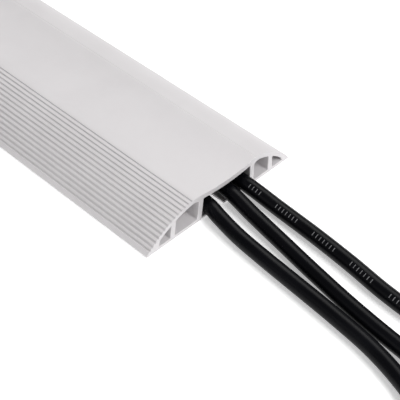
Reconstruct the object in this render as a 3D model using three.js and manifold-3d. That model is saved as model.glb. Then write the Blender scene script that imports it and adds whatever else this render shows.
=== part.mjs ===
// Floor cable cover: an extruded soft PVC ramp with a cable channel, and three mains leads lying in it.
// Millimetres, +Z up. X runs across the cover, Y along it. The origin is on the floor under its middle.
import * as THREE from 'three';
import { mergeVertices } from 'three/addons/utils/BufferGeometryUtils.js';
import Module from 'manifold-3d';

const wasm = await Module();
wasm.setup();

// ---- driving dimensions of the cover ----
const LENGTH = 1000;
const HALF_WIDTH = 41.5;
const HEIGHT = 14;
const GAP = 0.3;
const TOE = 0.8;
const BASE = 1.7;
const SKIN = 2.1;
const WEB = 2.6;
const SAG = 1.5;

// Each side of the cover: where its ridge, hinge, channel wall and cells stand, measured from x = 0.
const NEAR = {
  sign: -1,
  ridge: 15,
  bulge: 2.7,
  hinge: 12.6,
  wallTop: 9.9,
  wallFoot: 11.2,
  wall: 2.5,
  webTop: 25.2,
  webFoot: 26.2,
  cellTip: 35,
  flap: 10.2,
};
const FAR = {
  sign: 1,
  ridge: 20.5,
  bulge: 2.4,
  hinge: 19.7,
  wallTop: 17.2,
  wallFoot: 17.2,
  wall: 2.6,
  webTop: 28.4,
  webFoot: 28.4,
  cellTip: 37.4,
  flap: 15,
};

// ---- ribs of the near wing ----
const GROOVES = 14;
const GROOVE_PITCH = 2.02;
const GROOVE_WIDTH = 0.9;
const GROOVE_DEPTH = 0.5;
const FIRST_GROOVE = 1.6;

// ---- channel and flaps ----
const ROOF = 2.5;
const ROOF_STEPS = 12;
const MITRE_GAP = 0.42;
const FLAP_THICKNESS = 1.2;

// ---- leads, plugs and connectors ----
const LEAD_RADIUS = 3.4;
const LEAD_SIDES = 10;
const LEAD_STEPS = 78;
const FLOOR_LINE = LEAD_RADIUS + 0.05;
const CHANNEL_LINE = FLAP_THICKNESS + GAP + LEAD_RADIUS;
const PLUG_LINE = 19;
const SOCKET_LINE = 10.2;
const RELIEF_LENGTH = 30;
const RELIEF_RADIUS = 6.2;
const PIN_RADIUS = 2.4;
const PIN_LENGTH = 19;
const PIN_SPREAD = 9.5;
const PLUG_LENGTH = 38.8;
const STRIP_WIDTH = 5.2;
const SOCKET_LENGTH = 44;
const NOSE_WIDTH = 23.8;
const NOSE_HEIGHT = 16.2;
const NOSE_CHAMFER = 4.6;
const SLOT = [3.4, 7.2];
const SLOT_DEPTH = 14;
const SLEEVE_LENGTH = 11;
const CONTACTS = [['line', -7, -1.6], ['neutral', 7, -1.6], ['earth', 0, 2.2]];

const pvc = new THREE.MeshStandardMaterial({ color: 0xdcdad9, roughness: 0.55, metalness: 0 });
const jacket = new THREE.MeshStandardMaterial({ color: 0x0b0b0d, roughness: 0.38, metalness: 0 });
const moulding = new THREE.MeshStandardMaterial({ color: 0x111113, roughness: 0.5, metalness: 0 });
const nickel = new THREE.MeshStandardMaterial({ color: 0xc9c7c0, roughness: 0.25, metalness: 1 });
const brass = new THREE.MeshStandardMaterial({ color: 0xb89a5a, roughness: 0.35, metalness: 1 });

const group = new THREE.Group();

function add(name, geometry, material, parent = group) {
  const mesh = new THREE.Mesh(geometry, material);
  mesh.name = name;
  parent.add(mesh);
  return mesh;
}

// ---- manifold helpers: only joins and cuts ----

function solid(geometry) {
  const bare = geometry.index ? geometry.toNonIndexed() : geometry.clone();
  bare.deleteAttribute('normal');
  bare.deleteAttribute('uv');
  const merged = mergeVertices(bare, 1e-4);
  return new wasm.Manifold(new wasm.Mesh({
    numProp: 3,
    vertProperties: new Float32Array(merged.attributes.position.array),
    triVerts: new Uint32Array(merged.index.array),
  }));
}

function toGeometry(manifold) {
  const mesh = manifold.getMesh();
  const geometry = new THREE.BufferGeometry();
  geometry.setAttribute('position', new THREE.BufferAttribute(mesh.vertProperties, 3));
  geometry.setIndex(new THREE.BufferAttribute(mesh.triVerts, 1));
  return geometry;
}

function block(width, depth, height, x, y, z) {
  return new THREE.BoxGeometry(width, depth, height).translate(x, y, z);
}

const cut = (geometry, tools) => toGeometry(
  tools.reduce((rest, tool) => rest.subtract(solid(tool)), solid(geometry)),
);

const join = (geometries) => toGeometry(
  geometries.map(solid).reduce((sum, next) => sum.add(next)),
);

// ---- profile geometry: points are [x, z] pairs in the cover's cross-section ----

// Points on the arc from a to b that bulges upwards by rise.
function arc(a, b, rise, steps) {
  const chord = Math.hypot(b[0] - a[0], b[1] - a[1]);
  const radius = (chord * chord / 4 + rise * rise) / (2 * rise);
  const side = Math.sign(b[0] - a[0]);
  const normal = [-(b[1] - a[1]) / chord * side, (b[0] - a[0]) / chord * side];
  const centre = [
    (a[0] + b[0]) / 2 - normal[0] * (radius - rise),
    (a[1] + b[1]) / 2 - normal[1] * (radius - rise),
  ];
  const start = Math.atan2(a[1] - centre[1], a[0] - centre[0]);
  const end = Math.atan2(b[1] - centre[1], b[0] - centre[0]);
  const at = (t, depth = 0) => {
    const turn = start + (end - start) * t;
    return [
      centre[0] + (radius - depth) * Math.cos(turn),
      centre[1] + (radius - depth) * Math.sin(turn),
    ];
  };
  const points = [];
  for (let i = 0; i <= steps; i += 1) points.push(at(i / steps));
  return { points, at, length: radius * Math.abs(end - start), radius, centre };
}

// A prism of the outline along the cover, centred on its middle.
function extrusion(outline, length = LENGTH) {
  const shape = new THREE.Shape(outline.map(([x, z]) => new THREE.Vector2(x, z)));
  const geometry = new THREE.ExtrudeGeometry(shape, { depth: length, bevelEnabled: false });
  return geometry.rotateX(Math.PI / 2).translate(0, length / 2, 0);
}

const mirrored = (points, sign) => points.map(([x, z]) => [sign * x, z]);

// Outer skin of one wing, from its toe up to its ridge, seen with x growing outwards.
function wingArc(side) {
  return arc([HALF_WIDTH, TOE], [side.ridge, HEIGHT], side.bulge, 24);
}

// The skin's outline with flat-bottomed grooves pressed into it, toe first.
function ribbedSkin(side) {
  const skin = wingArc(side);
  const points = [skin.at(0)];
  for (let i = GROOVES - 1; i >= 0; i -= 1) {
    const middle = skin.length - FIRST_GROOVE - i * GROOVE_PITCH;
    points.push(skin.at((middle - GROOVE_WIDTH / 2) / skin.length));
    points.push(skin.at((middle - GROOVE_WIDTH / 5) / skin.length, GROOVE_DEPTH));
    points.push(skin.at((middle + GROOVE_WIDTH / 5) / skin.length, GROOVE_DEPTH));
    points.push(skin.at((middle + GROOVE_WIDTH / 2) / skin.length));
  }
  points.push(skin.at(1));
  return points;
}

// Height of the skin's underside at x.
function ceiling(side, x) {
  const skin = wingArc(side);
  const radius = skin.radius - SKIN;
  return skin.centre[1] + Math.sqrt(radius * radius - (x - skin.centre[0]) ** 2);
}

// The two hollow cells of a wing: a large one beside the wall and a small one towards the toe.
function cells(side) {
  const wallTop = side.wallTop + side.wall;
  const wallFoot = side.wallFoot + side.wall;
  const wallHeight = HEIGHT - SKIN - 1.6;
  const large = [
    [wallFoot, BASE],
    [side.webFoot, BASE],
    [side.webTop, ceiling(side, side.webTop)],
    [(wallTop + side.webTop) / 2, ceiling(side, (wallTop + side.webTop) / 2)],
    [wallTop + 3, ceiling(side, wallTop + 3)],
    [wallTop + 0.9, wallHeight + 0.9],
    [wallTop, wallHeight],
  ];
  const small = [
    [side.webFoot + WEB, BASE],
    [side.cellTip, BASE],
    [side.cellTip - 1, ceiling(side, side.cellTip - 1)],
    [side.webTop + WEB, ceiling(side, side.webTop + WEB)],
  ];
  return [large, small];
}

// How far the dished roof lies below its edges at x.
function dip(x) {
  const middle = (FAR.hinge - NEAR.hinge) / 2;
  const t = (x - middle) / ((FAR.hinge + NEAR.hinge) / 2);
  return SAG * (1 - t * t);
}

// One wing: ramp, cells, base and channel wall in one extrusion.
function wing(side, skin) {
  const outline = [
    [side.wallFoot, 0],
    [HALF_WIDTH, 0],
    ...skin,
    [side.hinge + MITRE_GAP, HEIGHT],
    [side.wallTop, HEIGHT - ROOF - MITRE_GAP - dip(side.sign * side.wallTop)],
  ];
  const tools = cells(side).map((cell) => extrusion(mirrored(cell, side.sign), LENGTH + 2));
  return cut(extrusion(mirrored(outline, side.sign)), tools);
}

// The roof over the channel: a dished plate, its slanted edges running from the hinges to the channel.
function crown() {
  const row = (left, right, top) => Array.from({ length: ROOF_STEPS + 1 }, (_, i) => {
    const x = left + (right - left) * i / ROOF_STEPS;
    return [x, top - dip(x)];
  });
  return extrusion([
    ...row(-NEAR.wallTop, FAR.wallTop, HEIGHT - ROOF),
    ...row(-NEAR.hinge, FAR.hinge, HEIGHT).reverse(),
  ]);
}

// One of the two base flaps, hinged at the foot of its wall.
function flap(side) {
  const root = side.wallFoot - GAP;
  const outline = [
    [root, 0],
    [root, FLAP_THICKNESS],
    [root - side.flap, FLAP_THICKNESS - 0.3],
    [root - side.flap, 0],
  ];
  return extrusion(mirrored(outline, side.sign));
}

add('crown', crown(), pvc);
add('near_wing', wing(NEAR, ribbedSkin(NEAR)), pvc);
add('far_wing', wing(FAR, wingArc(FAR).points), pvc);
add('near_base_flap', flap(NEAR), pvc);
add('far_base_flap', flap(FAR), pvc);

// A turned piece about the Y axis, from [radius, y] pairs.
function turned(profile, segments = 32) {
  return new THREE.LatheGeometry(profile.map(([r, y]) => new THREE.Vector2(r, y)), segments);
}

// ---- leads ----

// Hand-chosen routes, [x, y, z], from the plug beyond the far end, through the channel, to the connector.
const LEADS = [
  {
    name: 'lead_1',
    points: [
      [42, 600, PLUG_LINE],
      [42, 592, PLUG_LINE],
      [41.6, 580, 16.2],
      [39.6, 566, 9.6],
      [35, 552, 4.9],
      [28, 538, FLOOR_LINE],
      [20.4, 524, 3.6],
      [14.8, 511, 4.1],
      [13.2, 500, CHANNEL_LINE],
      [13.2, 470, CHANNEL_LINE],
      [13.2, 240, CHANNEL_LINE],
      [13.2, 0, CHANNEL_LINE],
      [13.2, -240, CHANNEL_LINE],
      [13.2, -470, CHANNEL_LINE],
      [13.2, -494, CHANNEL_LINE],
      [13.3, -507, 4.3],
      [13, -520, FLOOR_LINE],
      [11.8, -540, FLOOR_LINE],
      [10, -560, FLOOR_LINE],
      [7.6, -580, FLOOR_LINE],
      [7.2, -598, FLOOR_LINE],
      [11.4, -616, 3.8],
      [18.4, -631, 6],
      [22.4, -643, 9.2],
      [23.5, -651, SOCKET_LINE],
      [23.5, -659, SOCKET_LINE],
    ],
  },
  {
    name: 'lead_2',
    points: [
      [0, 580, PLUG_LINE],
      [0, 572, PLUG_LINE],
      [0, 562, 17],
      [0.3, 549, 11.6],
      [1, 536, 6.2],
      [2.4, 523, 3.8],
      [4.4, 511, 4.1],
      [5.8, 499, CHANNEL_LINE],
      [6.1, 472, CHANNEL_LINE],
      [6.1, 240, CHANNEL_LINE],
      [6.1, 0, CHANNEL_LINE],
      [6.1, -240, CHANNEL_LINE],
      [6.1, -460, CHANNEL_LINE],
      [6, -484, CHANNEL_LINE],
      [5, -500, 4.8],
      [2.8, -515, 3.7],
      [-0.3, -534, FLOOR_LINE],
      [-3.7, -554, FLOOR_LINE],
      [-6.8, -575, FLOOR_LINE],
      [-9.1, -598, FLOOR_LINE],
      [-10.1, -616, 3.8],
      [-10.2, -630, 5.8],
      [-10.5, -642, 9],
      [-10.5, -651, SOCKET_LINE],
      [-10.5, -659, SOCKET_LINE],
    ],
  },
  {
    name: 'lead_3',
    points: [
      [-42, 600, PLUG_LINE],
      [-42, 592, PLUG_LINE],
      [-41.5, 580, 16.2],
      [-39, 566, 9.6],
      [-33.8, 552, 4.9],
      [-26, 538, FLOOR_LINE],
      [-16.8, 524, 3.6],
      [-9.2, 511, 4.1],
      [-6.7, 499, CHANNEL_LINE],
      [-6.7, 470, CHANNEL_LINE],
      [-6.7, 240, CHANNEL_LINE],
      [-6.7, 0, CHANNEL_LINE],
      [-6.7, -240, CHANNEL_LINE],
      [-6.7, -470, CHANNEL_LINE],
      [-6.8, -499, CHANNEL_LINE],
      [-8.4, -508, 4.3],
      [-10.2, -520, 3.6],
      [-11.6, -535, FLOOR_LINE],
      [-13, -553, FLOOR_LINE],
      [-14.6, -573, FLOOR_LINE],
      [-17, -593, FLOOR_LINE],
      [-21.4, -610, 3.6],
      [-28.9, -627, 5.2],
      [-36.6, -640, 8.4],
      [-40.5, -651, SOCKET_LINE],
      [-40.5, -659, SOCKET_LINE],
    ],
  },
];

function tube(points) {
  const section = new THREE.Shape();
  for (let i = 0; i < LEAD_SIDES; i += 1) {
    const turn = (i + 0.5) * 2 * Math.PI / LEAD_SIDES;
    const corner = [LEAD_RADIUS * Math.cos(turn), LEAD_RADIUS * Math.sin(turn)];
    if (i === 0) section.moveTo(...corner);
    else section.lineTo(...corner);
  }
  section.closePath();
  const stops = points.map((point) => new THREE.Vector3(...point));
  const path = new THREE.CatmullRomCurve3(stops, false, 'centripetal');
  return new THREE.ExtrudeGeometry(section, { steps: LEAD_STEPS, extrudePath: path, bevelEnabled: false });
}

// Tapered strain relief along Y, thin end at y = 0 and thick end at RELIEF_LENGTH.
function relief() {
  const lip = 1.6;
  return turned([
    [0, 0], [LEAD_RADIUS + 0.8, 0], [RELIEF_RADIUS - 0.4, RELIEF_LENGTH - lip],
    [RELIEF_RADIUS, RELIEF_LENGTH - lip], [RELIEF_RADIUS, RELIEF_LENGTH], [0, RELIEF_LENGTH],
  ], 16);
}

// Two-pin earthed plug along Y, cord end at y = 0: tapered grip, shoulder and round front.
function plugBody() {
  const body = turned([
    [0, 0], [7.5, 0], [8.8, 1], [11.2, 6], [14.8, 13], [18, 17], [18.8, 18.6], [18.8, 20.4],
    [18, 21.4], [17.6, 21.8], [17.6, PLUG_LENGTH - 0.8], [16.8, PLUG_LENGTH], [0, PLUG_LENGTH],
  ]);
  const slots = [-1, 1].map((s) => block(6, 20, 3, 0, PLUG_LENGTH - 8, s * (17.6 - 0.1)));
  return cut(body, slots);
}

// A sprung earth strip in the plug's upper slot: flat at the back, bowed outwards in the middle.
function earthStrip() {
  const length = 15;
  const floor = 16.3;
  const strip = [
    [0, floor], [length, floor], [length, floor + 0.6], [length * 0.55, floor + 1.5], [0, floor + 0.6],
  ];
  const shape = new THREE.Shape(strip.map(([y, z]) => new THREE.Vector2(y, z)));
  const geometry = new THREE.ExtrudeGeometry(shape, { depth: STRIP_WIDTH, bevelEnabled: false });
  const axes = new THREE.Matrix4().makeBasis(
    new THREE.Vector3(0, 1, 0),
    new THREE.Vector3(0, 0, 1),
    new THREE.Vector3(1, 0, 0),
  );
  return geometry.applyMatrix4(axes).translate(-STRIP_WIDTH / 2, 0, 0);
}

function pin() {
  return turned([
    [0, 0], [PIN_RADIUS, 0], [PIN_RADIUS, PIN_LENGTH - 1.8],
    [PIN_RADIUS - 0.9, PIN_LENGTH - 0.4], [0, PIN_LENGTH],
  ], 16);
}

// A closed skin through rounded rectangular rings along Y: [y, half width, half height, squareness].
function loft(rings, sides = 32) {
  const positions = [];
  const index = [];
  for (const [y, width, height, power] of rings) {
    for (let i = 0; i < sides; i += 1) {
      const turn = 2 * Math.PI * i / sides;
      const round = (v) => Math.sign(v) * Math.abs(v) ** (2 / power);
      positions.push(width * round(Math.cos(turn)), y, height * round(Math.sin(turn)));
    }
  }
  const last = rings.length - 1;
  for (let k = 0; k < last; k += 1) {
    for (let i = 0; i < sides; i += 1) {
      const a = k * sides + i;
      const b = k * sides + (i + 1) % sides;
      index.push(a, a + sides, b, b, a + sides, b + sides);
    }
  }
  for (let i = 1; i < sides - 1; i += 1) {
    index.push(0, i, i + 1);
    index.push(last * sides, last * sides + i + 1, last * sides + i);
  }
  const geometry = new THREE.BufferGeometry();
  geometry.setAttribute('position', new THREE.BufferAttribute(new Float32Array(positions), 3));
  geometry.setIndex(index);
  return geometry;
}

// The appliance connector along Y, cord end at y = 0: tapered grip and a nose with two chamfered corners.
function socketBody() {
  const grip = loft([
    [0, 7.2, 7.2, 2], [1.5, 8.4, 7.8, 2.2], [8, 12, 9.2, 3], [13, 13.4, 10.1, 4], [25, 13.5, 10.2, 5],
    [26.2, 12.8, 9.5, 5],
  ]);
  const half = NOSE_WIDTH / 2;
  const tall = NOSE_HEIGHT / 2;
  const outline = [
    [-half, -tall], [half, -tall], [half, tall - NOSE_CHAMFER], [half - NOSE_CHAMFER, tall],
    [-half + NOSE_CHAMFER, tall], [-half, tall - NOSE_CHAMFER],
  ];
  const shape = new THREE.Shape(outline.map(([x, z]) => new THREE.Vector2(x, z)));
  const nose = new THREE.ExtrudeGeometry(shape, { depth: SOCKET_LENGTH - 20, bevelEnabled: false });
  nose.rotateX(Math.PI / 2).translate(0, SOCKET_LENGTH, 0);
  const slots = CONTACTS.map(([, x, z]) => block(SLOT[0], 2 * SLOT_DEPTH, SLOT[1], x, SOCKET_LENGTH, z));
  return cut(join([grip, nose]), slots);
}

// A folded contact sleeve that fits its slot with a clearance all round.
function sleeve() {
  const [width, height] = SLOT.map((size) => size - 2 * GAP);
  const outer = block(width, SLEEVE_LENGTH, height, 0, 0, 0);
  return cut(outer, [block(width - 0.8, SLEEVE_LENGTH + 2, height - 0.8, 0, 0, 0)]);
}

function addPlug(name, [x, y, z]) {
  const plug = new THREE.Group();
  plug.position.set(x, y + GAP, z);
  group.add(plug);
  add(`${name}_plug_strain_relief`, relief(), moulding, plug);
  const body = new THREE.Group();
  body.position.y = RELIEF_LENGTH + GAP;
  plug.add(body);
  add(`${name}_plug_body`, plugBody(), moulding, body);
  for (const [label, s] of [['left', -1], ['right', 1]]) {
    add(`${name}_plug_pin_${label}`, pin(), nickel, body).position.set(s * PIN_SPREAD, PLUG_LENGTH + GAP, 0);
  }
  for (const [label, turn] of [['upper', 0], ['lower', Math.PI]]) {
    const strip = add(`${name}_earth_strip_${label}`, earthStrip(), nickel, body);
    strip.rotation.y = turn;
    strip.position.y = PLUG_LENGTH - 16;
  }
}

function addSocket(name, [x, y, z]) {
  const socket = new THREE.Group();
  socket.position.set(x, y - GAP, z);
  socket.rotation.z = Math.PI;
  group.add(socket);
  add(`${name}_connector_strain_relief`, relief(), moulding, socket);
  const body = new THREE.Group();
  body.position.y = RELIEF_LENGTH + GAP;
  socket.add(body);
  add(`${name}_connector_body`, socketBody(), moulding, body);
  for (const [label, sx, sz] of CONTACTS) {
    const seat = SOCKET_LENGTH - SLOT_DEPTH + GAP + SLEEVE_LENGTH / 2;
    add(`${name}_${label}_contact`, sleeve(), brass, body).position.set(sx, seat, sz);
  }
}

for (const { name, points } of LEADS) {
  add(`${name}_cord`, tube(points), jacket);
  addPlug(name, points[0]);
  addSocket(name, points[points.length - 1]);
}

export default group;
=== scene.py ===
"""Floor cable cover with three mains leads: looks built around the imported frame. Metres, +Z up."""
import math

import bmesh
import bpy
from mathutils import Matrix, Vector
from mathutils.geometry import tessellate_polygon


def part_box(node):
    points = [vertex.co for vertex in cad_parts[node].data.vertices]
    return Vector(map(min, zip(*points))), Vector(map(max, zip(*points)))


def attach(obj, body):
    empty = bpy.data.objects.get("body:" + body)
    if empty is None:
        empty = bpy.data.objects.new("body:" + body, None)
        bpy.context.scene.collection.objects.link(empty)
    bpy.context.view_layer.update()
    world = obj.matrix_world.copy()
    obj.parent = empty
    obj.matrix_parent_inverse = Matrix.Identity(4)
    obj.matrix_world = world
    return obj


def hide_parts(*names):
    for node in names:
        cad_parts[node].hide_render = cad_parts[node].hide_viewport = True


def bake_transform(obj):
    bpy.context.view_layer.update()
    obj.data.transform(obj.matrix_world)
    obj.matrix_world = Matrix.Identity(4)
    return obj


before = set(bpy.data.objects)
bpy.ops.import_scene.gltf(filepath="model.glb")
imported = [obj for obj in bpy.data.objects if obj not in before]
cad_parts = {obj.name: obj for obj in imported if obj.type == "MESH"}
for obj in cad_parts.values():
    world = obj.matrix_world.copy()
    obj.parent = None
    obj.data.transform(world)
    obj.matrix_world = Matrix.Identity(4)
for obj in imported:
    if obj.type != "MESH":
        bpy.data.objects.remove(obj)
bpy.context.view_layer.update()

MM = 0.001

# ---- sizes of the cover's cross-section, in millimetres ----
HALF_WIDTH = 41.5
HEIGHT = 14.0
TOE = 0.8
BASE = 1.7
SKIN = 2.1
WEB = 2.6
ROOF = 2.5
SAG = 1.5
GAP = 0.3
ARC_STEPS = 56
ROOF_STEPS = 28
BEND_STEPS = 6
CUT_BEVEL = 0.18
CREASE_DEPTH = 0.26
HALF_HINGE_BAND = 0.35
HINGE_DEPTH = 1.6
FLAP_SETBACK = 0.15
RIB_TOP = 0.8
RIB_OVERLAP = 0.5
RIB_EMBED = 0.15
RIB_ROUNDING = 0.45
RIB_SETBACK = 0.05
GROOVES = 14
GROOVE_PITCH = 2.02
GROOVE_WIDTH = 0.9
GROOVE_DEPTH = 0.5
FIRST_GROOVE = 1.6
NEAR = dict(sign=-1, ridge=15.0, bulge=2.7, hinge=12.6, wall_top=9.9, wall_foot=11.2, wall=2.5,
            web_top=25.2, web_foot=26.2, cell_tip=35.0, corner=0.9, flap=10.2)
FAR = dict(sign=1, ridge=20.5, bulge=2.4, hinge=19.7, wall_top=17.2, wall_foot=17.2, wall=2.6,
           web_top=28.4, web_foot=28.4, cell_tip=37.4, corner=3.0, flap=15.0)
MIDDLE = (FAR["hinge"] - NEAR["hinge"]) / 2
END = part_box("crown")[1][1]

# ---- sizes of the leads, in metres ----
LEAD_RADIUS = 3.4 * MM
FLOOR_LINE = 3.45
CHANNEL_LINE = 4.9
PLUG_LINE = 19.0
SOCKET_LINE = 10.2


# =============================== node helpers ===============================

def wire(tree, kind, inputs=None, **settings):
    """Adds one node, sets its plain settings, then links or fills its inputs."""
    node = tree.nodes.new(kind)
    for key, value in settings.items():
        setattr(node, key, value)
    for key, value in (inputs or {}).items():
        socket = node.inputs[key]
        if isinstance(value, bpy.types.NodeSocket):
            tree.links.new(value, socket)
        else:
            socket.default_value = value
    return node


def new_material(name):
    material = bpy.data.materials.new(name)
    material.use_nodes = True
    tree = material.node_tree
    shader = tree.nodes["Principled BSDF"]
    place = tree.nodes.new("ShaderNodeTexCoord").outputs["Object"]
    return material, tree, shader, place


def stretched(tree, place, scale):
    return wire(tree, "ShaderNodeMapping", {"Vector": place, "Scale": scale}).outputs["Vector"]


def noise(tree, place, scale, detail=3.0, roughness=0.55):
    return wire(tree, "ShaderNodeTexNoise",
                {"Vector": place, "Scale": scale, "Detail": detail, "Roughness": roughness}).outputs["Fac"]


def spread(tree, value, low, high, out_low, out_high):
    return wire(tree, "ShaderNodeMapRange", {"Value": value, "From Min": low, "From Max": high,
                                             "To Min": out_low, "To Max": out_high}).outputs["Result"]


def tint(tree, value, dark, light):
    ramp = tree.nodes.new("ShaderNodeValToRGB")
    ramp.color_ramp.elements[0].color = (*dark, 1)
    ramp.color_ramp.elements[1].color = (*light, 1)
    ramp.color_ramp.elements[0].position = 0.3
    ramp.color_ramp.elements[1].position = 0.7
    tree.links.new(value, ramp.inputs["Fac"])
    return ramp.outputs["Color"]


def bump(tree, height, strength, distance, normal=None):
    inputs = {"Height": height, "Strength": strength, "Distance": distance}
    if normal is not None:
        inputs["Normal"] = normal
    return wire(tree, "ShaderNodeBump", inputs).outputs["Normal"]


# =============================== geometry nodes helpers ===============================

class Tree:
    """A Geometry Nodes tree with named inputs."""

    def __init__(self, name, **inputs):
        self.tree = bpy.data.node_groups.new(name, "GeometryNodeTree")
        face = self.tree.interface
        face.new_socket("Geometry", in_out="INPUT", socket_type="NodeSocketGeometry")
        for label, kind in inputs.items():
            face.new_socket(label.replace("_", " ").title(), in_out="INPUT", socket_type=f"NodeSocket{kind}")
        face.new_socket("Geometry", in_out="OUTPUT", socket_type="NodeSocketGeometry")
        self.inputs = self.tree.nodes.new("NodeGroupInput").outputs

    def add(self, kind, inputs=None, **settings):
        return wire(self.tree, kind, inputs, **settings)

    def math(self, operation, a, b=0.0):
        return self.add("ShaderNodeMath", {0: a, 1: b}, operation=operation).outputs[0]

    def vector(self, x=0.0, y=0.0, z=0.0):
        return self.add("ShaderNodeCombineXYZ", {"X": x, "Y": y, "Z": z}).outputs[0]

    def scaled(self, vector, amount):
        return self.add("ShaderNodeVectorMath", {0: vector, "Scale": amount}, operation="SCALE").outputs[0]

    def finish(self, geometry):
        """Ends the tree in Realize Instances and Set Material."""
        real = self.add("GeometryNodeRealizeInstances", {"Geometry": geometry}).outputs[0]
        finished = self.add("GeometryNodeSetMaterial", {"Geometry": real, "Material": self.inputs["Material"]})
        out = self.tree.nodes.new("NodeGroupOutput")
        self.tree.links.new(finished.outputs[0], out.inputs[0])
        return self

    def make(self, name, source=None, sharp=28, **values):
        """Runs the tree on a mesh and returns the result as a plain object."""
        mesh = source or bpy.data.meshes.new(name)
        carrier = bpy.data.objects.new(name, mesh)
        bpy.context.collection.objects.link(carrier)
        modifier = carrier.modifiers.new("make", "NODES")
        modifier.node_group = self.tree
        for item in self.tree.interface.items_tree:
            key = item.name.lower().replace(" ", "_")
            if key in values:
                modifier[item.identifier] = values[key]
        graph = bpy.context.evaluated_depsgraph_get()
        result = bpy.data.meshes.new_from_object(carrier.evaluated_get(graph), depsgraph=graph)
        carrier.modifiers.remove(modifier)
        carrier.data = result
        bpy.data.meshes.remove(mesh)
        result.name = name
        result.materials.clear()
        result.materials.append(values["material"])
        result.polygons.foreach_set("material_index", [0] * len(result.polygons))
        smooth(result, sharp)
        return carrier


def smooth(mesh, sharp):
    """Shades a mesh smooth up to this angle, apart from the flat ends that face along Y."""
    mesh.polygons.foreach_set("use_smooth", [abs(face.normal.y) < 0.99 for face in mesh.polygons])
    mesh.set_sharp_from_angle(angle=math.radians(sharp))


# =============================== materials ===============================

def cover_pvc():
    """Light grey soft PVC: satin skin, faint lines along the extrusion and a very slight mottle."""
    material, tree, shader, place = new_material("satin_grey_pvc")
    lines = noise(tree, stretched(tree, place, (900, 3, 900)), 1.0, 2.0)
    mottle = noise(tree, place, 60.0, 4.0)
    grain = noise(tree, place, 2600.0, 2.0)
    colour = tint(tree, mottle, (0.640, 0.620, 0.630), (0.668, 0.650, 0.659))
    tree.links.new(colour, shader.inputs["Base Color"])
    tree.links.new(spread(tree, mottle, 0.3, 0.7, 0.46, 0.56), shader.inputs["Roughness"])
    soft = bump(tree, lines, 0.10, 0.00008)
    tree.links.new(bump(tree, grain, 0.12, 0.00006, soft), shader.inputs["Normal"])
    shader.inputs["Specular IOR Level"].default_value = 0.4
    return material


def lead_jacket():
    """Semi-gloss black PVC with the faint unevenness of an extruded jacket."""
    material, tree, shader, place = new_material("black_jacket")
    wave = noise(tree, stretched(tree, place, (220, 40, 220)), 1.0, 2.0)
    grain = noise(tree, place, 3000.0, 2.0)
    tree.links.new(tint(tree, wave, (0.0016, 0.0017, 0.0026), (0.0036, 0.0038, 0.0052)),
                   shader.inputs["Base Color"])
    tree.links.new(spread(tree, grain, 0.3, 0.7, 0.24, 0.34), shader.inputs["Roughness"])
    shader.inputs["Specular IOR Level"].default_value = 0.08
    soft = bump(tree, wave, 0.12, 0.0003)
    tree.links.new(bump(tree, grain, 0.1, 0.00005, soft), shader.inputs["Normal"])
    return material


def moulded_black():
    """Fine matt texture of a moulded plug."""
    material, tree, shader, place = new_material("moulded_black")
    grain = noise(tree, place, 2200.0, 3.0)
    tree.links.new(tint(tree, grain, (0.008, 0.008, 0.009), (0.014, 0.014, 0.015)),
                   shader.inputs["Base Color"])
    tree.links.new(spread(tree, grain, 0.3, 0.7, 0.48, 0.6), shader.inputs["Roughness"])
    tree.links.new(bump(tree, grain, 0.25, 0.0001), shader.inputs["Normal"])
    return material


def plated(name, dark, light, low, high):
    """Turned or rolled metal with fine drawn lines along Y."""
    material, tree, shader, place = new_material(name)
    lines = noise(tree, stretched(tree, place, (3000, 60, 3000)), 1.0, 2.0)
    tree.links.new(tint(tree, lines, dark, light), shader.inputs["Base Color"])
    tree.links.new(spread(tree, lines, 0.3, 0.7, low, high), shader.inputs["Roughness"])
    tree.links.new(bump(tree, lines, 0.06, 0.00004), shader.inputs["Normal"])
    shader.inputs["Metallic"].default_value = 1.0
    return material


def printed_ink():
    material, tree, shader, place = new_material("printed_ink")
    worn = noise(tree, place, 2500.0, 3.0)
    tree.links.new(tint(tree, worn, (0.10, 0.10, 0.105), (0.24, 0.24, 0.25)), shader.inputs["Base Color"])
    tree.links.new(spread(tree, worn, 0.3, 0.7, 0.5, 0.65), shader.inputs["Roughness"])
    return material


PVC = cover_pvc()
JACKET = lead_jacket()
MOULDING = moulded_black()
NICKEL = plated("bright_nickel", (0.50, 0.485, 0.455), (0.62, 0.60, 0.565), 0.22, 0.34)
BRASS = plated("rolled_brass", (0.50, 0.36, 0.15), (0.62, 0.46, 0.21), 0.3, 0.42)
INK = printed_ink()


# =============================== camera ===============================

def add_camera():
    """Looks down and along the cover from beside its near end."""
    azimuth, elevation = math.radians(-45.05), math.radians(44.03)
    back = Vector((math.sin(azimuth) * math.cos(elevation), -math.cos(azimuth) * math.cos(elevation),
                   math.sin(elevation)))
    data = bpy.data.cameras.new("camera")
    data.sensor_width = 36.0
    data.lens = 103.6
    data.clip_start = 0.01
    camera = bpy.data.objects.new("camera", data)
    camera.location = (-0.2453, -END - 0.2328, 0.3302)
    camera.rotation_mode = "QUATERNION"
    camera.rotation_quaternion = (-back).to_track_quat("-Z", "Y")
    bpy.context.collection.objects.link(camera)
    bpy.context.scene.camera = camera


add_camera()


# =============================== leads ===============================

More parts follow.
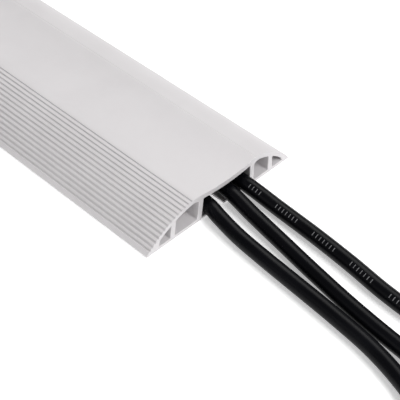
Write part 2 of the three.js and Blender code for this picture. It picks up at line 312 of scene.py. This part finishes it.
# Routes in millimetres, from the plug to the connector.
ROUTES = {
    "lead_1": [
        (42, 600, PLUG_LINE), (42, 592, PLUG_LINE), (41.6, 580, 16.2), (39.6, 566, 9.6), (35, 552, 4.9),
        (28, 538, FLOOR_LINE), (20.4, 524, 3.6), (14.8, 511, 4.1), (13.2, 500, CHANNEL_LINE),
        (13.2, 470, CHANNEL_LINE), (13.2, 240, CHANNEL_LINE), (13.2, 0, CHANNEL_LINE),
        (13.2, -240, CHANNEL_LINE), (13.2, -470, CHANNEL_LINE), (13.2, -494, CHANNEL_LINE),
        (13.3, -507, 4.3), (13, -520, FLOOR_LINE), (11.8, -540, FLOOR_LINE), (10, -560, FLOOR_LINE),
        (7.6, -580, FLOOR_LINE), (7.2, -598, FLOOR_LINE), (11.4, -616, 3.8), (18.4, -631, 6),
        (22.4, -643, 9.2), (23.5, -651, SOCKET_LINE), (23.5, -659, SOCKET_LINE),
    ],
    "lead_2": [
        (0, 580, PLUG_LINE), (0, 572, PLUG_LINE), (0, 562, 17), (0.3, 549, 11.6), (1, 536, 6.2),
        (2.4, 523, 3.8), (4.4, 511, 4.1), (5.8, 499, CHANNEL_LINE), (6.1, 472, CHANNEL_LINE),
        (6.1, 240, CHANNEL_LINE), (6.1, 0, CHANNEL_LINE), (6.1, -240, CHANNEL_LINE),
        (6.1, -460, CHANNEL_LINE), (6, -484, CHANNEL_LINE), (5, -500, 4.8), (2.8, -515, 3.7),
        (-0.3, -534, FLOOR_LINE), (-3.7, -554, FLOOR_LINE), (-6.8, -575, FLOOR_LINE),
        (-9.1, -598, FLOOR_LINE), (-10.1, -616, 3.8), (-10.2, -630, 5.8), (-10.5, -642, 9),
        (-10.5, -651, SOCKET_LINE), (-10.5, -659, SOCKET_LINE),
    ],
    "lead_3": [
        (-42, 600, PLUG_LINE), (-42, 592, PLUG_LINE), (-41.5, 580, 16.2), (-39, 566, 9.6),
        (-33.8, 552, 4.9), (-26, 538, FLOOR_LINE), (-16.8, 524, 3.6), (-9.2, 511, 4.1),
        (-6.7, 499, CHANNEL_LINE), (-6.7, 470, CHANNEL_LINE), (-6.7, 240, CHANNEL_LINE),
        (-6.7, 0, CHANNEL_LINE), (-6.7, -240, CHANNEL_LINE), (-6.7, -470, CHANNEL_LINE),
        (-6.8, -499, CHANNEL_LINE), (-8.4, -508, 4.3), (-10.2, -520, 3.6), (-11.6, -535, FLOOR_LINE),
        (-13, -553, FLOOR_LINE), (-14.6, -573, FLOOR_LINE), (-17, -593, FLOOR_LINE),
        (-21.4, -610, 3.6), (-28.9, -627, 5.2), (-36.6, -640, 8.4), (-40.5, -651, SOCKET_LINE),
        (-40.5, -659, SOCKET_LINE),
    ],
}


def smooth_route(points, steps=14):
    """Points on a centripetal Catmull-Rom curve through the route, in metres."""
    route = [Vector(p) * MM for p in points]
    first, last = 2 * route[0] - route[1], 2 * route[-1] - route[-2]
    route = [first, *route, last]
    out = []
    for a, b, c, d in zip(route, route[1:], route[2:], route[3:]):
        ta = 0.0
        tb = ta + math.sqrt((b - a).length)
        tc = tb + math.sqrt((c - b).length)
        td = tc + math.sqrt((d - c).length)
        for i in range(steps):
            t = tb + (tc - tb) * i / steps
            ab = a.lerp(b, (t - ta) / (tb - ta))
            bc = b.lerp(c, (t - tb) / (tc - tb))
            cd = c.lerp(d, (t - tc) / (td - tc))
            out.append(ab.lerp(bc, (t - ta) / (tc - ta)).lerp(bc.lerp(cd, (t - tb) / (td - tb)),
                                                             (t - tb) / (tc - tb)))
    out.append(route[-2])
    return out


def lead_curve(name, points):
    data = bpy.data.curves.new(name, "CURVE")
    data.dimensions = "3D"
    data.bevel_depth = LEAD_RADIUS
    data.bevel_resolution = 10
    data.use_fill_caps = True
    spline = data.splines.new("POLY")
    route = smooth_route(points)
    spline.points.add(len(route) - 1)
    for point, place in zip(spline.points, route):
        point.co = (*place, 1)
    spline.use_smooth = True
    data.materials.append(JACKET)
    lead = bpy.data.objects.new(name, data)
    bpy.context.collection.objects.link(lead)
    return lead


leads = {name: lead_curve(f"{name}_jacket", points) for name, points in ROUTES.items()}


def marks_tree():
    """Short strokes printed across a lead, in groups, bent to lie on its jacket."""
    t = Tree("printed_marks", pitch="Float", group="Int", shown="Int", stroke_width="Float",
             stroke_length="Float", ink_height="Float", lead_radius="Float", side_angle="Float",
             cover_end="Float", material="Material")
    i = t.inputs
    route = t.add("GeometryNodeMeshToCurve", {"Mesh": i["Geometry"]}).outputs[0]
    points = t.add("GeometryNodeResampleCurve", {"Curve": route, "Length": i["Pitch"]}, mode="LENGTH").outputs[0]
    tangent = t.tree.nodes.new("GeometryNodeInputTangent").outputs[0]
    up = t.vector(z=1.0)
    side = t.add("ShaderNodeVectorMath", {0: tangent, 1: up}, operation="CROSS_PRODUCT").outputs[0]
    side = t.add("ShaderNodeVectorMath", {0: side}, operation="NORMALIZE").outputs[0]
    top = t.add("ShaderNodeVectorMath", {0: side, 1: tangent}, operation="CROSS_PRODUCT").outputs[0]
    outwards = t.add("ShaderNodeVectorMath", {
        0: t.scaled(side, t.math("SINE", i["Side Angle"])),
        1: t.scaled(top, t.math("COSINE", i["Side Angle"]))}, operation="ADD").outputs[0]
    along = t.add("FunctionNodeAlignRotationToVector", {"Vector": tangent}, axis="Y").outputs[0]
    turned = t.add("FunctionNodeAlignRotationToVector", {"Rotation": along, "Vector": outwards},
                   axis="Z", pivot_axis="Y").outputs[0]
    index = t.tree.nodes.new("GeometryNodeInputIndex").outputs[0]
    in_group = t.math("LESS_THAN", t.math("MODULO", index, i["Group"]), i["Shown"])
    place = t.tree.nodes.new("GeometryNodeInputPosition").outputs[0]
    at = t.add("ShaderNodeSeparateXYZ", {0: place}).outputs
    outside = t.math("GREATER_THAN", t.math("ABSOLUTE", at["Y"]), i["Cover End"])
    keep = t.math("MULTIPLY", in_group, outside)
    box = t.add("GeometryNodeMeshCube", {
        "Size": t.vector(i["Stroke Length"], i["Stroke Width"], i["Ink Height"]),
        "Vertices X": 6, "Vertices Y": 2, "Vertices Z": 2}).outputs[0]
    radius = t.math("ADD", i["Lead Radius"], at["Z"])
    turn = t.math("DIVIDE", at["X"], i["Lead Radius"])
    bent = t.add("GeometryNodeSetPosition", {"Geometry": box, "Position": t.vector(
        t.math("MULTIPLY", radius, t.math("SINE", turn)), at["Y"],
        t.math("MULTIPLY", radius, t.math("COSINE", turn)))}).outputs[0]
    strokes = t.add("GeometryNodeInstanceOnPoints", {"Points": points, "Selection": keep, "Instance": bent,
                                                     "Rotation": turned})
    return t.finish(strokes.outputs[0])


def printed_marks(name, points):
    route = smooth_route(points)
    mesh = bpy.data.meshes.new(name)
    mesh.from_pydata(route, [(k, k + 1) for k in range(len(route) - 1)], [])
    return marks_tree().make(name, mesh, pitch=1.9 * MM, group=11, shown=7, stroke_width=0.32 * MM,
                             stroke_length=1.7 * MM, ink_height=0.05 * MM, lead_radius=LEAD_RADIUS,
                             side_angle=math.radians(34), cover_end=END + 0.004, material=INK)


lead_marks = printed_marks("lead_1_printed_marks", ROUTES["lead_1"])


# =============================== plugs, connectors and their strain reliefs ===============================

RELIEF_LENGTH = 30.0
RELIEF_RADIUS = 6.2


def relief_tree():
    """A tapered sleeve with rings and a collar at its thick end, thin end at y = 0."""
    t = Tree("strain_relief", length="Float", thin_radius="Float", thick_radius="Float", rings="Int",
             ring_width="Float", ring_height="Float", collar="Float", material="Material")
    i = t.inputs
    path = t.add("GeometryNodeCurvePrimitiveLine", {"Start": t.vector(), "End": t.vector(y=i["Length"])}).outputs[0]
    path = t.add("GeometryNodeResampleCurve", {"Curve": path, "Count": 12}, mode="COUNT").outputs[0]
    along = t.tree.nodes.new("GeometryNodeSplineParameter").outputs["Factor"]
    taper = t.math("MULTIPLY", t.math("SUBTRACT", i["Thick Radius"], i["Thin Radius"]), along)
    core = t.math("SUBTRACT", t.math("ADD", i["Thin Radius"], taper), i["Ring Height"])
    path = t.add("GeometryNodeSetCurveRadius", {"Curve": path, "Radius": core}).outputs[0]
    circle = t.add("GeometryNodeCurvePrimitiveCircle", {"Resolution": 48, "Radius": 1.0}, mode="RADIUS").outputs[0]
    sleeve = sweep(t, path, circle)

    row = t.add("GeometryNodeMeshLine", {"Count": i["Rings"], "Offset": t.vector()}).outputs[0]
    index = t.tree.nodes.new("GeometryNodeInputIndex").outputs[0]
    room = t.math("SUBTRACT", t.math("SUBTRACT", i["Length"], i["Collar"]), i["Ring Width"])
    step = t.math("DIVIDE", room, i["Rings"])
    y = t.math("ADD", t.math("MULTIPLY", step, index), t.math("MULTIPLY", i["Ring Width"], 0.5))
    points = t.add("GeometryNodeSetPosition", {"Geometry": row, "Position": t.vector(y=y)}).outputs[0]
    slope = t.math("DIVIDE", t.math("SUBTRACT", i["Thick Radius"], i["Thin Radius"]), i["Length"])
    size = t.math("ADD", i["Thin Radius"], t.math("MULTIPLY", slope, y))
    ring = rounded_disc(t, i["Ring Width"], circle)
    rings = t.add("GeometryNodeInstanceOnPoints", {"Points": points, "Instance": ring,
                                                   "Scale": t.vector(size, 1.0, size)}).outputs[0]

    collar = rounded_disc(t, i["Collar"], circle)
    collar_y = t.math("SUBTRACT", i["Length"], t.math("MULTIPLY", i["Collar"], 0.5))
    collar = t.add("GeometryNodeTransform", {"Geometry": collar, "Translation": t.vector(y=collar_y),
                                             "Scale": t.vector(i["Thick Radius"], 1.0, i["Thick Radius"])}).outputs[0]
    joined = t.tree.nodes.new("GeometryNodeJoinGeometry")
    for part in (sleeve, rings, collar):
        t.tree.links.new(part, joined.inputs[0])
    return t.finish(joined.outputs[0])


def sweep(t, path, outline):
    """Sweeps the outline along the path, scaled by the path's radius, with both ends closed."""
    radius = t.tree.nodes.new("GeometryNodeInputRadius").outputs[0]
    inputs = {"Curve": path, "Profile Curve": outline, "Scale": radius, "Fill Caps": True}
    return t.add("GeometryNodeCurveToMesh", inputs).outputs[0]


def rounded_disc(t, width, circle):
    """A disc of radius 1 about Y with a rounded rim."""
    half = t.math("MULTIPLY", width, 0.5)
    path = t.add("GeometryNodeCurvePrimitiveLine", {"Start": t.vector(y=t.math("MULTIPLY", half, -1.0)),
                                                    "End": t.vector(y=half)}).outputs[0]
    path = t.add("GeometryNodeResampleCurve", {"Curve": path, "Count": 9}, mode="COUNT").outputs[0]
    along = t.tree.nodes.new("GeometryNodeSplineParameter").outputs["Factor"]
    side = t.math("ABSOLUTE", t.math("SUBTRACT", t.math("MULTIPLY", along, 2.0), 1.0))
    rim = t.math("SUBTRACT", 1.0, t.math("MULTIPLY", t.math("POWER", side, 5.0), 0.09))
    path = t.add("GeometryNodeSetCurveRadius", {"Curve": path, "Radius": rim}).outputs[0]
    return sweep(t, path, circle)


def softened(node, material, width):
    """A copy of a moulded or folded CAD piece with its edges rounded."""
    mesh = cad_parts[node].data.copy()
    shape = bmesh.new()
    shape.from_mesh(mesh)
    bmesh.ops.remove_doubles(shape, verts=shape.verts, dist=1e-6)
    bmesh.ops.dissolve_limit(shape, angle_limit=math.radians(1), verts=shape.verts, edges=shape.edges)
    shape.to_mesh(mesh)
    shape.free()
    mesh.materials.clear()
    mesh.materials.append(material)
    piece = bpy.data.objects.new(f"{node}_soft", mesh)
    bpy.context.collection.objects.link(piece)
    bevel = piece.modifiers.new("rounding", "BEVEL")
    bevel.width = width * MM
    bevel.segments = 3
    bevel.limit_method = "ANGLE"
    bevel.angle_limit = math.radians(32)
    graph = bpy.context.evaluated_depsgraph_get()
    result = bpy.data.meshes.new_from_object(piece.evaluated_get(graph), depsgraph=graph)
    piece.modifiers.remove(bevel)
    shape = bmesh.new()
    shape.from_mesh(result)
    bmesh.ops.remove_doubles(shape, verts=shape.verts, dist=2e-6)
    bmesh.ops.dissolve_degenerate(shape, edges=shape.edges, dist=1e-6)
    shape.to_mesh(result)
    shape.free()
    piece.data = result
    result.materials.clear()
    result.materials.append(material)
    result.polygons.foreach_set("material_index", [0] * len(result.polygons))
    smooth(result, 40)
    return piece


RELIEFS = relief_tree()


def strain_relief(node, place, turned_round):
    piece = RELIEFS.make(f"{node}_ringed", length=RELIEF_LENGTH * MM, thin_radius=4.3 * MM,
                         thick_radius=RELIEF_RADIUS * MM, rings=8, ring_width=1.9 * MM, ring_height=0.75 * MM,
                         collar=2.4 * MM, material=MOULDING)
    turn = Matrix.Rotation(math.pi, 4, "Z") if turned_round else Matrix.Identity(4)
    piece.data.transform(Matrix.Translation(place) @ turn)
    return piece


lead_pieces = {}
for name, points in ROUTES.items():
    x, y, z = points[0]
    plug_relief = strain_relief(f"{name}_plug_strain_relief", Vector((x, y + GAP, z)) * MM, False)
    x, y, z = points[-1]
    socket_relief = strain_relief(f"{name}_connector_strain_relief", Vector((x, y - GAP, z)) * MM, True)
    pieces = {f"{name}_plug_strain_relief": plug_relief, f"{name}_connector_strain_relief": socket_relief}
    for part, material, width in (
            ("plug_body", MOULDING, 0.4), ("connector_body", MOULDING, 0.5), ("plug_pin_left", NICKEL, 0.25),
            ("plug_pin_right", NICKEL, 0.25), ("earth_strip_upper", NICKEL, 0.15),
            ("earth_strip_lower", NICKEL, 0.15), ("line_contact", BRASS, 0.12),
            ("neutral_contact", BRASS, 0.12), ("earth_contact", BRASS, 0.12)):
        pieces[f"{name}_{part}"] = softened(f"{name}_{part}", material, width)
    lead_pieces[name] = pieces


# =============================== cross-section outlines ===============================

def dip(x):
    """How far the dished roof lies below its edges at x."""
    t = (x - MIDDLE) / ((FAR["hinge"] + NEAR["hinge"]) / 2)
    return SAG * (1 - t * t)


def skin_circle(side):
    """Centre and radius of the wing's outer arc, with x growing outwards."""
    ax, az, bx, bz = HALF_WIDTH, TOE, side["ridge"], HEIGHT
    chord = math.hypot(bx - ax, bz - az)
    radius = (chord * chord / 4 + side["bulge"] ** 2) / (2 * side["bulge"])
    nx, nz = (bz - az) / chord, -(bx - ax) / chord
    return (ax + bx) / 2 - nx * (radius - side["bulge"]), (az + bz) / 2 - nz * (radius - side["bulge"]), radius


def skin_start(side):
    cx, cz, _ = skin_circle(side)
    return math.atan2(TOE - cz, HALF_WIDTH - cx)


def skin_length(side):
    cx, cz, radius = skin_circle(side)
    return radius * (math.atan2(HEIGHT - cz, side["ridge"] - cx) - skin_start(side))


def skin_at(side, along, depth=0.0, corner=0.0):
    """The point at this distance along the skin from its toe, and this deep in it."""
    cx, cz, radius = skin_circle(side)
    turn = skin_start(side) + along / radius
    return cx + (radius - depth) * math.cos(turn), cz + (radius - depth) * math.sin(turn), corner


def skin_run(side, start, stop, depth=0.0):
    steps = max(2, round(ARC_STEPS * (stop - start) / skin_length(side)))
    return [skin_at(side, start + (stop - start) * i / steps, depth) for i in range(1, steps)]


def plain_skin(side):
    """The smooth wing, up to a fine crease along its ridge."""
    length = skin_length(side)
    return [
        *skin_run(side, 0, length - 0.8),
        skin_at(side, length - 0.6, 0, 0.3),
        (side["ridge"], HEIGHT - CREASE_DEPTH, 0.15),
        (side["ridge"] - 0.6, HEIGHT - 0.01, 0.3),
    ]


def ribbed_skin(side):
    """The wing lowered to the bottom of its grooves, which the ribs stand up from."""
    length = skin_length(side)
    first, last = length - FIRST_GROOVE + GROOVE_WIDTH / 2, length - FIRST_GROOVE - (GROOVES - 1) * GROOVE_PITCH
    last -= GROOVE_WIDTH / 2
    slope = GROOVE_WIDTH * 0.3
    return [
        *skin_run(side, 0, last),
        skin_at(side, last, 0, 0.2),
        skin_at(side, last + slope, GROOVE_DEPTH, 0.1),
        *skin_run(side, last + slope, first - slope, GROOVE_DEPTH),
        skin_at(side, first - slope, GROOVE_DEPTH, 0.1),
        skin_at(side, first, 0, 0.2),
        skin_at(side, length - 0.3, 0, 0.6),
        (side["ridge"] - 0.5, HEIGHT - 0.01, 0.6),
    ]


def ceiling(side, x):
    """Height of the underside of the wing's skin at x."""
    cx, cz, radius = skin_circle(side)
    return cz + math.sqrt((radius - SKIN) ** 2 - (x - cx) ** 2)


def rounded(corners, steps=6):
    """The polygon with each corner (x, z, radius) rounded; radius 0 keeps the point."""
    out = []
    count = len(corners)
    for i, (x, z, radius) in enumerate(corners):
        if not radius:
            out.append((x, z))
            continue
        here = Vector((x, z))
        to_last = (Vector(corners[i - 1][:2]) - here)
        to_next = (Vector(corners[(i + 1) % count][:2]) - here)
        half = to_last.angle(to_next) / 2
        reach = min(radius / math.tan(half), 0.49 * to_last.length, 0.49 * to_next.length)
        radius = reach * math.tan(half)
        a = here + to_last.normalized() * reach
        b = here + to_next.normalized() * reach
        centre = here + (to_last.normalized() + to_next.normalized()).normalized() * radius / math.sin(half)
        start = (a - centre)
        turn = start.angle_signed(b - centre)
        for k in range(steps + 1):
            angle = -turn * k / steps
            out.append((centre.x + start.x * math.cos(angle) - start.y * math.sin(angle),
                        centre.y + start.x * math.sin(angle) + start.y * math.cos(angle)))
    return out


def half_outline(side):
    """Wing, channel wall and this side's half of the roof as one outline, with x growing outwards."""
    sign = side["sign"]
    inner = MIDDLE * sign
    roof_under = [(x, HEIGHT - ROOF - dip(sign * x), 0)
                  for x in [inner + (side["wall_top"] - 0.8 - inner) * i / ROOF_STEPS
                            for i in range(ROOF_STEPS + 1)]]
    roof_over = [(x, HEIGHT - dip(sign * x), 0)
                 for x in [side["hinge"] - 1.5 + (inner - side["hinge"] + 1.5) * i / ROOF_STEPS
                           for i in range(ROOF_STEPS + 1)]]
    return rounded([
        *roof_under,
        (side["wall_top"], HEIGHT - ROOF - dip(sign * side["wall_top"]), 0.8),
        (side["wall_foot"], 0, 0.3),
        (HALF_WIDTH, 0, 0.25),
        (HALF_WIDTH, TOE, 0.35),
        *(ribbed_skin(side) if side is NEAR else plain_skin(side)),
        *roof_over,
    ])


def cell_outlines(side):
    wall_top = side["wall_top"] + side["wall"]
    wall_foot = side["wall_foot"] + side["wall"]
    wall_height = HEIGHT - SKIN - 1.6
    large = [
        (wall_foot, BASE, 0.7),
        (side["web_foot"], BASE, 0.7),
        (side["web_top"], ceiling(side, side["web_top"]), 0.9),
        *[(x, ceiling(side, x), 0) for x in
          [side["web_top"] + (wall_top + 3.4 - side["web_top"]) * i / 8 for i in range(1, 8)]],
        (wall_top + 3, ceiling(side, wall_top + 3), side["corner"]),
        (wall_top + 0.9, wall_height + 0.9, side["corner"]),
        (wall_top, wall_height, side["corner"]),
    ]
    small_top = [side["cell_tip"] - 1.2 + (side["web_top"] + WEB - side["cell_tip"] + 1.2) * i / 6
                 for i in range(1, 6)]
    small = [
        (side["web_foot"] + WEB, BASE, 0.6),
        (side["cell_tip"], BASE, 0.3),
        (side["cell_tip"] - 1, ceiling(side, side["cell_tip"] - 1), 0.5),
        *[(x, ceiling(side, x), 0) for x in small_top],
        (side["web_top"] + WEB, ceiling(side, side["web_top"] + WEB), 0.8),
    ]
    return [rounded(large), rounded(small)]


# =============================== the extruded cover ===============================

def area(outline):
    return sum(a[0] * b[1] - b[0] * a[1] for a, b in zip(outline, outline[1:] + outline[:1])) / 2


def wing_bend(side):
    """Where the wing's thin hinge starts and stops bending, across the corner of roof and wall."""
    across = Vector((side["sign"] * 2.95, 0, -2.7)).normalized() * HALF_HINGE_BAND
    middle = Vector((side["sign"] * (side["hinge"] + side["wall_top"]) / 2, 0, HEIGHT - HINGE_DEPTH))
    return (middle - across) * MM, (middle + across) * MM


def flap_bend(side):
    """Where the base flap's neck starts and stops bending."""
    root = side["wall_foot"]
    return [Vector((side["sign"] * x * MM, 0, 0)) for x in (root + 0.1, root - 1.1)]


def section(name, side, outline, bend, holes=()):
    """One flat cut end at y = 0 that stores which way is inwards at each point, cut across its bend."""
    sign = side["sign"]
    loops = [[(sign * x, z) for x, z in loop] for loop in (outline, *holes)]
    loops = [loop if (area(loop) > 0) == (k == 0) else loop[::-1] for k, loop in enumerate(loops)]
    verts, inwards, flat = [], [], []
    for loop in loops:
        for i, (x, z) in enumerate(loop):
            ahead = Vector(loop[(i + 1) % len(loop)]) - Vector(loop[i - 1])
            inward = Vector((0 if abs(x - MIDDLE) < 1e-6 else -ahead.y, 0, ahead.x)).normalized()
            inwards.append(inward)
            verts.append((Vector((x, 0, z)) + inward * CUT_BEVEL) * MM)
        flat.append([Vector((point.x, point.z, 0)) / MM for point in verts[-len(loop):]])
    faces = []
    for a, b, c in tessellate_polygon(flat):
        pa, pb, pc = (Vector((verts[i].x, verts[i].z)) for i in (a, b, c))
        faces.append((a, b, c) if (pb - pa).cross(pc - pa) < 0 else (a, c, b))
    mesh = bpy.data.meshes.new(name)
    mesh.from_pydata(verts, [], faces)
    inward = mesh.attributes.new("inward", "FLOAT_VECTOR", "POINT")
    inward.data.foreach_set("vector", [c for vector in inwards for c in vector])
    cut = bmesh.new()
    cut.from_mesh(mesh)
    start, end = bend
    for k in range(BEND_STEPS + 1):
        bmesh.ops.bisect_plane(cut, geom=cut.verts[:] + cut.edges[:] + cut.faces[:], dist=1e-7,
                               plane_co=start.lerp(end, k / BEND_STEPS), plane_no=(end - start).normalized())
    cut.to_mesh(mesh)
    cut.free()
    return mesh


def extrusion_tree():
    """Draws a cross-section out along Y, with both cut ends slightly bevelled."""
    t = Tree("extrusion", length="Float", cut_bevel="Float", material="Material")
    length, bevel = t.inputs["Length"], t.inputs["Cut Bevel"]
    inward = t.add("GeometryNodeInputNamedAttribute", {"Name": "inward"}, data_type="FLOAT_VECTOR").outputs[0]
    inset = t.scaled(inward, bevel)
    outset = t.scaled(inset, -1.0)
    at_start = t.vector(y=t.math("MULTIPLY", length, -0.5))

    def move(geometry, offset, selection=None):
        inputs = {"Geometry": geometry, "Offset": offset}
        if selection is not None:
            inputs["Selection"] = selection
        return t.add("GeometryNodeSetPosition", inputs).outputs[0]

    def draw_out(geometry, distance, selection=None):
        inputs = {"Mesh": geometry, "Offset": t.vector(y=1.0), "Offset Scale": distance, "Individual": False}
        if selection is not None:
            inputs["Selection"] = selection
        node = t.add("GeometryNodeExtrudeMesh", inputs, mode="FACES")
        return node.outputs["Mesh"], node.outputs["Top"]

    start = move(t.inputs["Geometry"], at_start)
    body, top = draw_out(start, bevel)
    body = move(body, outset, top)
    body, top = draw_out(body, t.math("SUBTRACT", length, t.math("MULTIPLY", bevel, 2.0)), top)
    body, top = draw_out(body, bevel, top)
    body = move(body, inset, top)
    back = t.add("GeometryNodeFlipFaces", {"Mesh": start}).outputs[0]
    joined = t.tree.nodes.new("GeometryNodeJoinGeometry")
    t.tree.links.new(body, joined.inputs[0])
    t.tree.links.new(back, joined.inputs[0])
    merged = t.add("GeometryNodeMergeByDistance", {"Geometry": joined.outputs[0], "Distance": 1e-7}).outputs[0]
    return t.finish(merged)


def ribs_tree():
    """Rounded bars side by side on the wing's arc, each square to the skin."""
    t = Tree("ribs", count="Int", pitch="Float", first="Float", length="Float", top_width="Float",
             base_width="Float", height="Float", rounding="Float", arc_radius="Float", arc_start="Float",
             arc_x="Float", arc_z="Float", material="Material")
    i = t.inputs
    outline = t.add("GeometryNodeCurvePrimitiveQuadrilateral",
                    {"Height": i["Height"], "Bottom Width": i["Base Width"], "Top Width": i["Top Width"],
                     "Offset": 0.0}, mode="TRAPEZOID").outputs[0]
    outline = t.add("GeometryNodeFilletCurve", {"Curve": outline, "Radius": i["Rounding"], "Count": 4,
                                                "Limit Radius": True}, mode="POLY").outputs[0]
    half = t.math("MULTIPLY", i["Length"], 0.5)
    path = t.add("GeometryNodeCurvePrimitiveLine", {"Start": t.vector(y=t.math("MULTIPLY", half, -1.0)),
                                                    "End": t.vector(y=half)}).outputs[0]
    bar = t.add("GeometryNodeCurveToMesh", {"Curve": path, "Profile Curve": outline, "Fill Caps": True}).outputs[0]
    bar = t.add("GeometryNodeMergeByDistance", {"Geometry": bar, "Distance": 2e-6}).outputs[0]
    row = t.add("GeometryNodeMeshLine", {"Count": i["Count"], "Offset": t.vector()}).outputs[0]
    index = t.tree.nodes.new("GeometryNodeInputIndex").outputs[0]
    along = t.math("ADD", i["First"], t.math("MULTIPLY", index, i["Pitch"]))
    turn = t.math("ADD", i["Arc Start"], t.math("DIVIDE", along, i["Arc Radius"]))
    middle = t.math("SUBTRACT", i["Arc Radius"], t.math("MULTIPLY", i["Height"], 0.5))
    x = t.math("SUBTRACT", i["Arc X"], t.math("MULTIPLY", middle, t.math("COSINE", turn)))
    z = t.math("ADD", i["Arc Z"], t.math("MULTIPLY", middle, t.math("SINE", turn)))
    points = t.add("GeometryNodeSetPosition", {"Geometry": row, "Position": t.vector(x=x, z=z)}).outputs[0]
    lean = t.vector(y=t.math("SUBTRACT", turn, math.pi / 2))
    placed = t.add("GeometryNodeInstanceOnPoints", {"Points": points, "Instance": bar, "Rotation": lean})
    return t.finish(placed.outputs[0])


def flap_outline(side):
    """A base flap with a thin neck at its root, where it meets the foot of the wall."""
    root = side["wall_foot"]
    return rounded([
        (root, 0.3, 0),
        (root, 1.1, 0),
        (root - 0.4, 0.75, 0.3),
        (root - 0.7, 0.75, 0.3),
        (root - 1.1, 1.2, 0.3),
        (root - GAP - side["flap"], 0.9, 0.3),
        (root - GAP - side["flap"], 0, 0.2),
        (root - 0.5, 0, 0.2),
    ])


EXTRUSION = extrusion_tree()
COVER = dict(length=2 * END, cut_bevel=CUT_BEVEL * MM, material=PVC)
FLAP = dict(length=2 * (END - FLAP_SETBACK * MM), cut_bevel=CUT_BEVEL * MM, material=PVC)
near_half = EXTRUSION.make("near_half_skin", section("near_section", NEAR, half_outline(NEAR), wing_bend(NEAR),
                                                     cell_outlines(NEAR)), **COVER)
far_half = EXTRUSION.make("far_half_skin", section("far_section", FAR, half_outline(FAR), wing_bend(FAR),
                                                   cell_outlines(FAR)), **COVER)
near_flap = EXTRUSION.make("near_flap_skin", section("near_flap_section", NEAR, flap_outline(NEAR),
                                                     flap_bend(NEAR)), **FLAP)
far_flap = EXTRUSION.make("far_flap_skin", section("far_flap_section", FAR, flap_outline(FAR),
                                                   flap_bend(FAR)), **FLAP)

arc_x, arc_z, arc_radius = skin_circle(NEAR)
near_ribs = ribs_tree().make(
    "near_wing_ribs", count=GROOVES - 1, pitch=GROOVE_PITCH * MM,
    first=(skin_length(NEAR) - FIRST_GROOVE - (GROOVES - 1.5) * GROOVE_PITCH) * MM,
    length=2 * (END - RIB_SETBACK * MM), top_width=RIB_TOP * MM, base_width=(GROOVE_PITCH + RIB_OVERLAP) * MM,
    height=(GROOVE_DEPTH + RIB_EMBED) * MM, rounding=RIB_ROUNDING * MM, arc_radius=arc_radius * MM,
    arc_start=skin_start(NEAR), arc_x=-arc_x * MM, arc_z=arc_z * MM, material=PVC)


# =============================== light and floor ===============================

def area_light(name, place, aim, width, height, power, colour=(1, 1, 1)):
    data = bpy.data.lights.new(name, "AREA")
    data.shape = "RECTANGLE"
    data.size, data.size_y = width, height
    data.energy = power
    data.color = colour
    light = bpy.data.objects.new(name, data)
    light.location = place
    light.rotation_mode = "QUATERNION"
    light.rotation_quaternion = (Vector(aim) - Vector(place)).to_track_quat("-Z", "Y")
    bpy.context.collection.objects.link(light)


def add_floor():
    mesh = bpy.data.meshes.new("floor")
    size = 6.0
    mesh.from_pydata([(-size, -size, 0), (size, -size, 0), (size, size, 0), (-size, size, 0)], [], [(0, 1, 2, 3)])
    material = bpy.data.materials.new("floor")
    material.use_nodes = True
    shader = material.node_tree.nodes["Principled BSDF"]
    shader.inputs["Base Color"].default_value = (0.95, 0.95, 0.95, 1)
    shader.inputs["Roughness"].default_value = 0.9
    shader.inputs["Specular IOR Level"].default_value = 0.1
    shader.inputs["Emission Color"].default_value = (1, 1, 1, 1)
    shader.inputs["Emission Strength"].default_value = 0.4
    mesh.materials.append(material)
    floor = bpy.data.objects.new("floor", mesh)
    floor.location.z = -0.0004
    bpy.context.collection.objects.link(floor)


def add_world():
    world = bpy.data.worlds.new("studio")
    world.use_nodes = True
    background = world.node_tree.nodes["Background"]
    background.inputs["Color"].default_value = (1, 1, 1, 1)
    background.inputs["Strength"].default_value = 0.27
    bpy.context.scene.world = world
    bpy.context.scene.view_settings.view_transform = "Standard"


mouth = Vector((0, -END, 0))
area_light("key", mouth + Vector((0.08, -0.8, 0.98)), mouth, 0.6, 0.6, 10.5)
area_light("back_right", mouth + Vector((0.7, 0.45, 0.95)), mouth + Vector((0, 0.1, 0)), 0.7, 0.7, 6.4,
           (1, 0.992, 0.985))
area_light("left_fill", mouth + Vector((-0.87, 0.15, 0.48)), mouth + Vector((0, 0.1, 0)), 0.6, 0.6, 1.2)
add_floor()
add_world()


# =============================== riding and finishing ===============================

for name, jacket in leads.items():
    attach(jacket, "root")
    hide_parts(f"{name}_cord")
    for node, piece in lead_pieces[name].items():
        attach(piece, "root")
        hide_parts(node)
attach(lead_marks, "root")

for piece, side, name in ((near_half, NEAR, "near"), (far_half, FAR, "far")):
    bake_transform(piece)
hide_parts("near_wing", "crown")
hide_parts("far_wing", "crown")
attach(near_ribs, "near_wing")
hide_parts("near_wing")
for piece, side, name in ((near_flap, NEAR, "near"), (far_flap, FAR, "far")):
    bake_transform(piece)
    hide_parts(f"{name}_base_flap")
